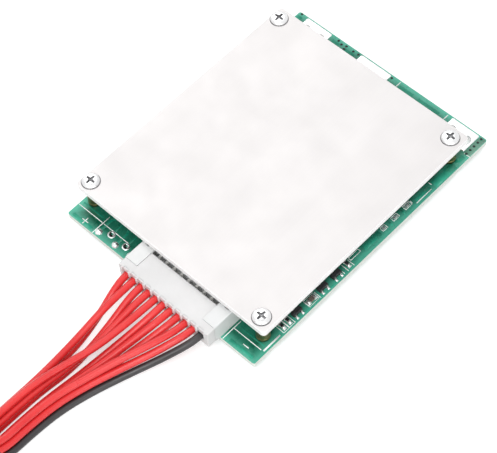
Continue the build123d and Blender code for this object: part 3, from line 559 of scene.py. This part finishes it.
def barrel(place, hole, lip, rise):
    """A plated hole: a rounded lip on the board, the wall through it and a lip below."""
    middle, half = (hole + lip) / 2, (lip - hole) / 2
    turn = np.linspace(0, np.pi, 9)
    radius = np.concatenate([middle + half * np.cos(turn), middle + half * np.cos(turn[::-1])])
    height = np.concatenate([BOARD_TOP + rise * np.sin(turn), BOARD_BOTTOM - rise * np.sin(turn[::-1])])
    return revolved(np.column_stack([radius, height]), place, 48)


show("eyelet_rings", [barrel(place, 0.5, 1.06, 0.1) for place in eyelet_places], "solder",
     ["plated_eyelets"])
# A near-black funnel into each plated hole, set a little off its middle: painted shade in the hole
throat_shade_profile = [(0.80, 0.115), (0.72, 0.12), (0.50, 0.03), (0.485, -1.4)]
throat_shades = [revolved(throat_shade_profile, (x + 0.1, y + 0.1), 32, BOARD_TOP) for x, y in eyelet_places]
show("eyelet_throat_shade", throat_shades, "solder", finish="hole_shade")

LAND_STEP, LAND_CORNER, LAND_SLOPE, HOLE_EDGE = 0.13, 0.5, 0.35, 1.62


def tinned_land(x0, x1, y0, y1):
    """Tin over a land: within 0.35 mm of its outline z rises to 0.12 + 0.022 w, w three crossed waves."""
    x, y = (np.linspace(low, high, int((high - low) / LAND_STEP)) for low, high in ((x0, x1), (y0, y1)))
    x, y = np.meshgrid(x, y)
    out_x = np.abs(x - (x0 + x1) / 2) - (x1 - x0) / 2 + LAND_CORNER
    out_y = np.abs(y - (y0 + y1) / 2) - (y1 - y0) / 2 + LAND_CORNER
    outside = np.hypot(np.maximum(out_x, 0), np.maximum(out_y, 0)) - LAND_CORNER
    outside += np.minimum(np.maximum(out_x, out_y), 0)
    waves = np.sin(2.1 * x + 1.3 * y) + np.sin(3.7 * y - 1.9 * x + 1.0)
    waves += np.sin(5.3 * x + 0.7 + 2.2 * np.sin(1.7 * y))
    z = BOARD_TOP - 0.05 + (0.17 + 0.022 * waves) * np.sqrt(softly(-outside / LAND_SLOPE))
    points = np.stack([x, y, z], axis=-1).reshape(-1, 3)
    faces = grid_faces(*x.shape, closed=False)
    middles = points[faces].mean(axis=1)
    holes = [np.hypot(middles[:, 0] - hole_x, middles[:, 1] - hole_y) for hole_x, hole_y in cable_holes]
    return points, faces[np.min(holes, axis=0) > HOLE_EDGE]


show("tinned_lands", [tinned_land(x0, x1, LAND_FRONT, LAND_BACK) for x0, x1 in land_edges]
     + [barrel(place, 1.47, 1.95, 0.16) for place in cable_holes], "solder", ["power_lands"])

# Chips: metal ends round the ceramic, and solder up to them
PAD_HEIGHT, PAD_EDGE = 0.07, 0.03
terminals, fillets, pads = [], [], []


def solder_foot(x, y, blob, height, pad, phase):
    """A fillet of solder over an oval and the pad below it."""
    fillets.append(mound(x, y, *blob, height, phase=phase))
    pads.append(rounded_box((x, y, BOARD_TOP), (*pad, PAD_HEIGHT), PAD_EDGE, 1))


def chip_ends(x, y, long_x, long_y, height, cap):
    """The two wrapped ends of a chip along its longer side, with a fillet of solder and a pad at each."""
    along = np.array([1, 0] if long_x > long_y else [0, 1])
    across = 1 - along
    long, wide, tall = max(long_x, long_y), min(long_x, long_y), height + 0.04
    for side in (-along, along):
        end = (x, y) + side * long / 2
        block = along * cap + across * (wide + 0.05)
        blob = along * 0.34 + across * (wide / 2 + 0.06)
        pad = along * 1.0 + across * (wide + 0.24)
        middle = end - side * (cap / 2 - 0.03)
        terminals.append(rounded_box((*middle, BOARD_TOP + tall / 2), (*block, tall), 0.05, 2))
        fillets.append(mound(*(end + side * 0.06), *blob, 0.7 * height, phase=x + y))
        pads.append(rounded_box((*(end + side * 0.12), BOARD_TOP), (*pad, PAD_HEIGHT), PAD_EDGE, 1))


# Each chip by its place, its size along X and Y, its height and the length of a metal end
for column in channel_columns:
    for side in (-1, 1):
        chip_ends(column + side * CHIP_OFFSET, row_y(RESISTOR_ROW), 0.8, 1.6, 0.5, 0.34)
    chip_ends(column, row_y(CAPACITOR_ROW), 1.6, 0.8, 0.6, 0.34)
    chip_ends(column, row_y(BALANCE_ROW), 3.2, 6.4, 0.6, 0.6)
for share in STRIP_CHIP_ROWS:
    chip_ends(STRIP_CHIPS, row_y(share), 1.6, 0.8, 0.5, 0.34)
chip_ends(STRIP_LARGE_CHIP, row_y(STRIP_LARGE_CHIP_ROW), 1.25, 2.0, 0.6, 0.42)
for column in SHUNT_COLUMNS:
    chip_ends(column, SHUNT_ROW, 6.4, 3.2, 1.0, 1.1)
show("chip_ends", terminals, "tinned_copper")

# Solder at the feet of the bent leads: how far each foot lies across and along the transistor
FOOT_REACH, FOOT_STEP = 1.05, 0.95
transistor_feet = ((FOOT_REACH, -FOOT_STEP), (FOOT_REACH, FOOT_STEP), (-FOOT_REACH, 0.0))
for share in STRIP_TRANSISTOR_ROWS:
    for across, along in transistor_feet:
        x, y = STRIP_TRANSISTORS + across, row_y(share) + along
        solder_foot(x, y, (0.42, 0.3), 0.2, (0.966, 0.69), 3 * x)
for column in channel_columns:
    for across, along in transistor_feet:
        x, y = column + along, row_y(SMALL_TRANSISTOR_ROW) + across
        solder_foot(x, y, (0.3, 0.42), 0.2, (0.69, 0.966), 3 * x)
for column in channel_columns:
    for side in (-1, 1):
        for step in (-1, 0, 1):
            x, y = column + step * FOOT_STEP, row_y(MONITOR_ROW) + side * MONITOR_REACH
            solder_foot(x, y, (0.26, 0.4), 0.18, (0.62, 0.95), 3 * x)
for y in POWER_ROWS:
    for column in POWER_COLUMNS:
        for x in (column - LEG_PITCH, column + LEG_PITCH):
            solder_foot(x, y - LEG_REACH, (0.8, 1.1), 0.36, (2.2, 2.8), x)

# A blob over two cut pins beside the header's end, and two near-black spots on it: painted shade of its two
# dips
fillets.append(mound(*from_corner(22.0, 1.0), 1.15, 0.72, 0.42, rings=10, segments=30, phase=0.8))
show("solder_fillets", fillets, "solder")
show("solder_pads", pads, "solder")
dips = [(21.55, 1.0, 0.2, 0.16), (22.4, 1.1, 0.18, 0.15)]
dip_shade_marks = [mound(*from_corner(x, y), *half, 0.05, BOARD_TOP + 0.37) for x, y, *half in dips]
show("blob_dip_shade", dip_shade_marks, "solder", finish="hole_shade")

# Tracks under the mask as a width and points from the corner, and thin mask at the far right corner
TRACK, THIN_MASK = 0.035, 0.03
tracks = [
    (0.7, (9.9, 1.4), (9.9, 6.0), (12.4, 9.0)), (0.7, (15.7, 1.4), (15.7, 5.6), (14.2, 8.4)),
    (0.7, (20.7, 1.6), (20.7, 6.6), (18.6, 9.4)), (0.4, (12.9, 2.9), (12.9, 9.0)),
    (0.4, (18.1, 2.8), (18.1, 9.0)), (0.9, (1.2, 0.9), (7.9, 0.9)), (0.9, (55.2, 1.1), (62.6, 1.1)),
    (0.5, (54.8, 5.2), (62.4, 5.2)), (0.5, (0.9, 5.0), (7.8, 5.0)), (0.4, (60.9, 16.0), (60.0, 16.0)),
    (0.4, (60.9, 17.0), (58.0, 17.0)), (0.4, (60.8, 26.1), (58.4, 26.1)), (0.4, (60.8, 30.9), (58.4, 30.9)),
    (0.3, (63.0, 18.0), (63.4, 18.6), (63.4, 24.6), (63.0, 25.2)),
    (0.3, (63.0, 27.0), (63.4, 27.6), (63.4, 29.4), (63.0, 30.0)), (2.1, (62.6, 66.6), (62.6, 74.4)),
    (1.3, (61.9, 75.6), (62.6, 76.4), (62.6, 78.0)), (1.5, (62.0, 41.0), (62.0, 47.2)),
    (1.1, (62.3, 60.0), (62.3, 65.4)), (0.5, (61.6, 55.4), (62.9, 55.4)), (0.5, (61.6, 50.8), (62.9, 50.8)),
    (2.6, (14.2, 84.6), (14.2, 80.0)), (3.4, (19.0, 84.4), (19.0, 80.0)), (4.6, (38.5, 84.6), (38.5, 80.0)),
    (7.2, (46.0, 84.6), (46.0, 80.0)), (1.6, (1.2, 84.6), (1.2, 80.0)),
]
show("covered_tracks", [on_top(line, width, TRACK) for width, *line in tracks], "solder_mask",
     finish="mask_over_copper")
show("thin_mask", [on_top([(62.9, 78.7), (62.9, 85.5)], 1.9, THIN_MASK)], "solder_mask", finish="mask_thin")
under_tracks = [
    (0.5, (x - 1.5, 6.0 - 2.2 * i), (x - 1.5, -28.5 - 0.6 * i), (x, -30.5 - 0.6 * i), (x, TAIL_ROW))
    for i, x in enumerate(pin_columns)
]
under_tracks += [(9.0, (x, 10.0), (x, 36.0)) for x in (-25.0, 25.2)]
under_tracks += [(7.0, (15.0, 24.0), (-15.0, 24.0))]
show("under_tracks", [ribbon(line, width, BOARD_BOTTOM, -TRACK) for width, *line in under_tracks],
     "solder_mask", finish="mask_over_copper")

# Vias: a coated ring with a near-black disc in the middle, painted shade of the hole
via_places = [from_corner(*place) for place in (
    (14.4, 85.1), (15.8, 84.6), (17.2, 85.0), (17.3, 83.9), (19.7, 84.9), (21.4, 85.0), (33.0, 84.9),
    (1.0, 85.4), (62.7, 85.0), (62.7, 83.6), (62.7, 82.1), (62.7, 80.6), (62.7, 79.1))]
via_ring = [(0.42, 0.0), (0.40, 0.045), (0.33, 0.07), (0.25, 0.06), (0.22, 0.03)]
show("via_rings", [revolved(via_ring, place, 22, BOARD_TOP) for place in via_places], "solder_mask",
     finish="mask_over_copper")
via_hole_shades = [mound(*place, 0.36, 0.36, 0.012, BOARD_TOP + 0.068, 3, 20) for place in via_places]
show("via_hole_shade", via_hole_shades, "solder_mask", finish="hole_shade")

# Printed lines as start, end and width, and frames as opposite corners, all from the corner
INK, INK_LIP, FRAME_WIDTH = 0.055, 0.06, 0.17
lines = [
    ((0.2, 3.85), (8.6, 3.85), 0.22), ((9.1, 3.85), (17.8, 3.85), 0.22), ((8.85, 0.1), (8.85, 6.2), 0.22),
    ((4.0, 1.4), (6.0, 1.4), 0.26), ((5.0, 0.4), (5.0, 1.25), 0.26), ((5.0, 1.55), (5.0, 2.4), 0.26),
    ((53.65, 0.1), (53.65, 6.4), 0.22), ((53.8, 3.95), (62.6, 3.95), 0.22),
    ((58.3, 2.3), (60.1, 2.3), 0.28), ((63.2, 4.1), (63.2, 9.8), 0.45), ((35.6, 83.5), (35.6, 85.4), 0.24),
    ((51.5, 83.5), (51.5, 85.4), 0.24), ((62.2, 78.8), (64.0, 78.9), 0.2),
    ((63.0, 59.6), (63.0, 65.2), 0.22), ((61.2, 66.2), (62.2, 66.2), 0.2), ((61.3, 59.0), (62.1, 59.0), 0.2),
    ((61.1, 36.0), (63.45, 36.0), 0.2), ((61.1, 33.9), (63.45, 33.9), 0.2),
    ((62.4, 32.7), (63.3, 32.7), 0.2), ((61.2, 23.9), (63.5, 23.9), 0.2),
]
boxes = [
    (61.1, 56.4, 62.3, 58.7), (61.1, 51.9, 62.3, 54.0), (61.1, 48.0, 62.3, 49.6), (61.0, 36.5, 61.9, 40.0),
    (61.0, 20.2, 63.3, 23.5), (60.7, 10.9, 63.45, 12.8), (60.7, 12.95, 63.45, 14.85),
]
ink = [on_top([start, end], width, INK, INK_LIP) for start, end, width in lines]
for box in boxes:
    ink += frame_on_top(*box, FRAME_WIDTH, INK)
show("printed_lines", ink, "solder_mask", finish="silk_ink")
bare_pads = [rounded_box((*from_corner(x, y), BOARD_TOP), (*size, 0.1), 0.04, 2) for x, y, *size in (
    (62.2, 35.0, 1.5, 0.9), (61.7, 52.95, 0.7, 1.5), (61.7, 57.5, 0.7, 1.6), (61.7, 48.8, 0.7, 1.0))]
show("bare_pads", bare_pads, "solder")

# Wires: the same route points as the tubes, and the coil's turns worked out in a loop
WIRE_DIAMETER, WIRE_LENGTH = 1.9, 230.0
CRIMP_REAR, FLANGE_REAR, WIRE_EXIT = -44.1, -46.0, 1.0
wire_stations = [-50.7, -56.2, -64.2, -72.2, -80.2, -88.2, -96.2]
wire_routes = [
    [(-6.0, 6.1), (-5.0, 4.0), (-3.9, 2.0), (-3.7, 1.1), (-3.85, 0.95), (-3.7, 0.95), (-3.7, 0.95)],
    [(-3.95, 6.7), (-4.0, 6.2), (-4.0, 4.2), (-3.8, 3.2), (-3.6, 3.0), (-3.7, 2.95), (-3.7, 2.95)],
    [(-1.4, 6.2), (-1.0, 4.3), (-0.6, 2.1), (-0.6, 1.0), (-1.6, 0.95), (-1.7, 0.95), (-1.7, 0.95)],
    [(1.0, 6.7), (0.8, 5.5), (0.5, 3.9), (-0.4, 3.1), (-1.4, 3.0), (-1.7, 2.95), (-1.7, 2.95)],
    [(3.4, 6.8), (2.9, 6.3), (1.8, 5.5), (-0.3, 5.2), (-2.2, 4.9), (-2.7, 4.75), (-2.7, 4.75)],
    [(5.9, 6.3), (4.8, 4.4), (3.2, 2.1), (2.1, 1.1), (1.1, 0.95), (0.8, 0.95), (0.8, 0.95)],
    [(8.2, 6.6), (7.1, 5.4), (5.4, 3.8), (3.7, 2.9), (2.3, 2.8), (1.8, 2.75), (1.8, 2.75)],
    [(10.5, 6.2), (8.8, 4.1), (6.6, 2.0), (4.7, 1.1), (3.2, 0.95), (2.85, 0.95), (2.85, 0.95)],
    [(13.0, 6.9), (11.3, 6.7), (8.2, 5.8), (5.5, 4.9), (3.5, 4.7), (2.85, 4.55), (2.85, 4.55)],
    [(15.2, 6.6), (12.9, 5.1), (9.4, 3.8), (6.4, 3.0), (4.5, 2.85), (3.9, 2.75), (3.9, 2.75)],
    [(17.5, 6.0), (14.6, 3.8), (10.5, 1.7), (7.5, 1.0), (5.6, 0.95), (5.0, 0.95), (5.0, 0.95)],
]
LEAD_IN_STEP, LEAD_IN_END, LEAD_IN_GROWTH = 6.5, 5.0, 1.05
lead_in_turns = [22.5, 45.0, 67.5, 90.0]
PIVOT_X, COIL_LIFT, COIL_RADIUS, COIL_PITCH, COIL_ENTRY = 0.8, 0.45, 22.0, 6.1, 2.0
POINTS_A_TURN = 24
WIRE_RADIUS = WIRE_DIAMETER / 2
coil_x = PIVOT_X - COIL_RADIUS
coil_y = wire_stations[-1] - len(lead_in_turns) * LEAD_IN_STEP - LEAD_IN_END - COIL_ENTRY


def turned(x, z, degrees):
    """A wire's place in the bundle, turned about the bundle's pivot and kept off the floor."""
    share = degrees / lead_in_turns[-1]
    growth = 1 + (LEAD_IN_GROWTH - 1) * min(1.0, 4 * share)
    spin = math.radians(degrees)
    ends = np.array([route[-1] for route in wire_routes]) - (PIVOT_X, WIRE_RADIUS)
    lowest = growth * np.min(ends[:, 0] * math.sin(spin) + ends[:, 1] * math.cos(spin))
    dx, dz = growth * (x - PIVOT_X), growth * (z - WIRE_RADIUS)
    return (PIVOT_X + dx * math.cos(spin) - dz * math.sin(spin),
            WIRE_RADIUS + COIL_LIFT * share + dx * math.sin(spin) + dz * math.cos(spin) - lowest)


def wire_points(pin_x, route):
    """A wire's points from its crimp: the route, the lead-in and as much coil as its length needs."""
    points = [(pin_x, CRIMP_REAR, PIN_LEVEL), (pin_x, FLANGE_REAR - WIRE_EXIT, PIN_LEVEL)]
    points += [(x, y, z) for (x, z), y in zip(route, wire_stations)]
    for step, degrees in enumerate(lead_in_turns, start=1):
        x, z = turned(*route[-1], degrees)
        points.append((x, wire_stations[-1] - step * LEAD_IN_STEP, z))
    entry_x, entry_y, entry_z = points[-1]
    points.append((entry_x, entry_y - LEAD_IN_END, entry_z))
    # The wire's rest lies in the coil: r t - pitch t^2 / (4 pi) = rest, solved for the turn t
    rest = WIRE_LENGTH - COIL_ENTRY - np.sum(np.linalg.norm(np.diff(np.array(points), axis=0), axis=1))
    start_radius, tightening = entry_x - coil_x, COIL_PITCH / (4 * np.pi)
    whole_turn = (start_radius - math.sqrt(start_radius ** 2 - 4 * tightening * rest)) / (2 * tightening)
    for turn in np.linspace(0, whole_turn, math.ceil(whole_turn / (2 * np.pi) * POINTS_A_TURN) + 1):
        radius = start_radius - COIL_PITCH * turn / (2 * np.pi)
        points.append((coil_x + radius * math.cos(turn), coil_y - radius * math.sin(turn), entry_z))
    return np.array(points)


def bare_end(tip, heading):
    """Twisted tinned strands past the insulation: r = 0.5 + 0.05 cos(7a + 2.2s), closed by a drop of tin."""
    side = np.cross(heading, (0, 0, 1))
    along = np.linspace(-0.5, 3.2, 38)[:, None]
    angle = full_turn(42)
    closing = np.sqrt(np.clip((3.24 - along) / 0.3, 0.002, 1))
    radius = (0.5 + 0.05 * np.cos(7 * angle + 2.2 * along)) * closing
    points = (tip + along[..., None] * heading + (radius * np.cos(angle))[..., None] * side
              + (radius * np.sin(angle))[..., None] * np.array([0, 0, 1.0]))
    return points.reshape(-1, 3), grid_faces(len(along), 42)


wires, tips = [], []
for number, (pin_x, route) in enumerate(zip(pin_columns, wire_routes), start=1):
    points = wire_points(pin_x, route)
    curve = bpy.data.curves.new(f"sense_wire_{number}", "CURVE")
    curve.dimensions = "3D"
    curve.bevel_depth = WIRE_RADIUS * MM
    curve.bevel_resolution = 5
    curve.resolution_u = 8
    curve.use_fill_caps = True
    spline = curve.splines.new("NURBS")
    spline.points.add(len(points) - 1)
    spline.points.foreach_set("co", np.column_stack([points * MM, np.ones(len(points))]).ravel())
    spline.order_u = 3
    spline.use_endpoint_u = True
    slot = "wire_black" if number == PINS else "wire_red"
    curve.materials.append(finish_of[slot])
    wires.append(put_on_board(f"sense_wire_{number}", curve, [f"wire_{number}", "harness_coil"]))
    heading = points[-1] - points[-2]
    tips.append(bare_end(points[-1], heading / np.linalg.norm(heading)))

wire_tips = show("wire_tips", tips, "tinned_copper")

# Floor, light and background, in metres
FLOOR_REACH = 3.0
LIGHT_AIM = (0, -0.03, 0)
floor_mesh = bpy.data.meshes.new("floor")
floor_corners = [(x * FLOOR_REACH, y * FLOOR_REACH, 0) for x, y in ((-1, -1), (1, -1), (1, 1), (-1, 1))]
floor_mesh.from_pydata(floor_corners, [], [(0, 1, 2, 3)])
floor = bpy.data.objects.new("floor", floor_mesh)
bpy.context.scene.collection.objects.link(floor)
floor_material, tree, shader = new_material("floor_paper")
feed(tree, shader, {
    "Base Color": (0.7, 0.7, 0.7, 1),
    "Roughness": 0.9,
    "Specular IOR Level": 0.0,
    "Emission Color": (1, 1, 1, 1),
    "Emission Strength": arithmetic(tree, "MULTIPLY", seen_directly(tree), 0.5),
})
floor_mesh.materials.append(floor_material)

world = bpy.data.worlds.new("studio")
world.use_nodes = True
bpy.context.scene.world = world
tree = world.node_tree
background_strength = spread(tree, seen_directly(tree), 0.0, 1.0, 0.5, 1.0)
feed(tree, tree.nodes["Background"], {"Color": (1, 1, 1, 1), "Strength": background_strength})


def softbox(name, place, size, power):
    """A square area light at a place, turned to the lights' common aim."""
    data = bpy.data.lights.new(name, "AREA")
    data.size, data.energy = size, power
    lamp = bpy.data.objects.new(name, data)
    direction = Vector(LIGHT_AIM) - Vector(place)
    lamp.matrix_world = Matrix.Translation(place) @ direction.to_track_quat("-Z", "Y").to_matrix().to_4x4()
    bpy.context.scene.collection.objects.link(lamp)


softbox("key_light", (0.22, -0.48, 0.78), 0.6, 5.6)
softbox("fill_light", (-0.5, 0.3, 0.7), 0.6, 2.0)
softbox("side_light", (0.7, -0.3, 0.2), 0.4, 1.2)

bpy.context.scene.view_settings.view_transform = "Standard"
